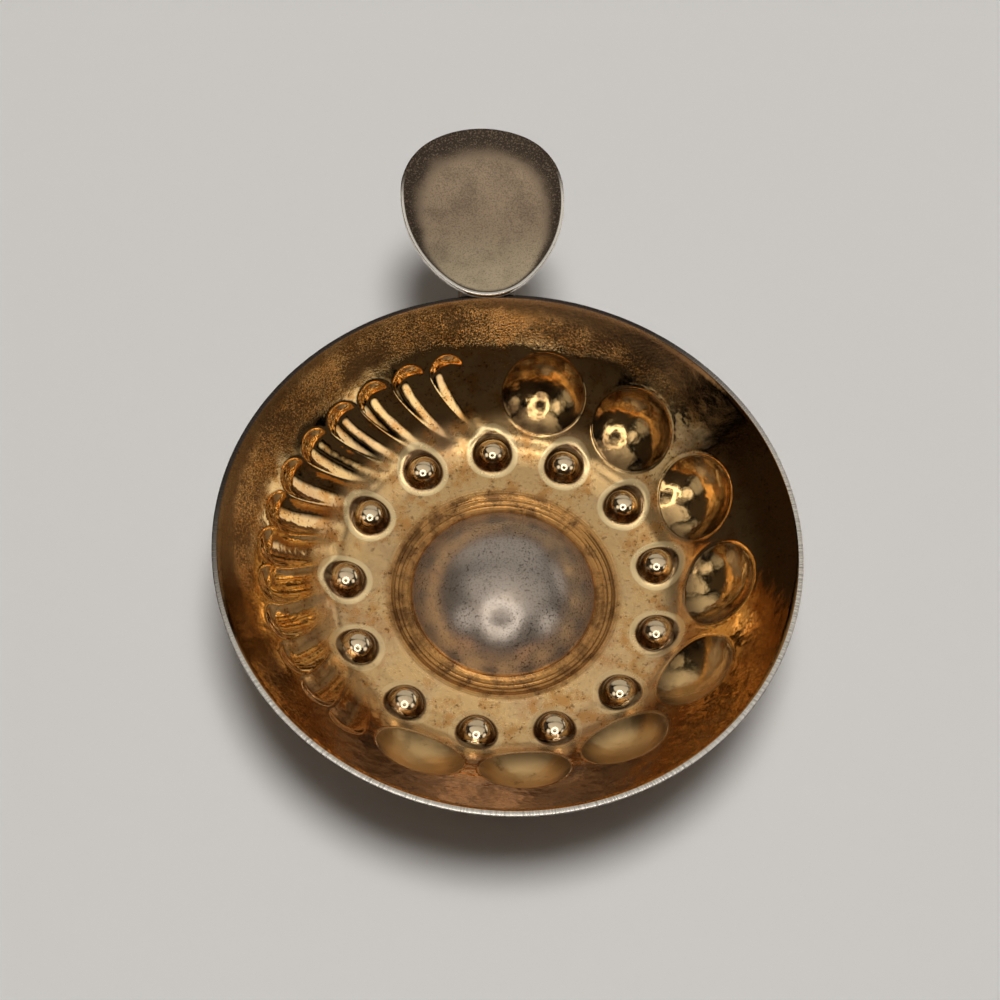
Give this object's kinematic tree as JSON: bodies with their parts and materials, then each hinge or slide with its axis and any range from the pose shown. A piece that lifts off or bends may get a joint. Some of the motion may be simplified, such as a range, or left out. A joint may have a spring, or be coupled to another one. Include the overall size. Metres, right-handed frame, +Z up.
{
  "type": "tastevin",
  "caption": "Shallow silver wine-tasting cup with a central dome, raised pearls, round cupules and slanted flutes, a finger ring and a dished thumb rest at the rim.",
  "frame": {"origin": "centre of the flat foot ring on which the cup stands", "axes": "+Z up along the cup's axis, +Y from the axis towards the finger ring and thumb rest, +X to the right seen from the drinker's side"},
  "size_m": [0.0746, 0.0988, 0.0231],
  "materials": {
    "gilt_silver": "worn gilding on chased silver",
    "silver": "satin, tarnished",
    "solder": "dull silver solder"
  },
  "bodies": {
    "root": {"bowl": "gilt_silver", "thumb_rest": "silver", "finger_ring": "silver", "solder_rim": "solder", "solder_rest": "solder", "solder_wall": "solder"}
  },
  "joints": []
}
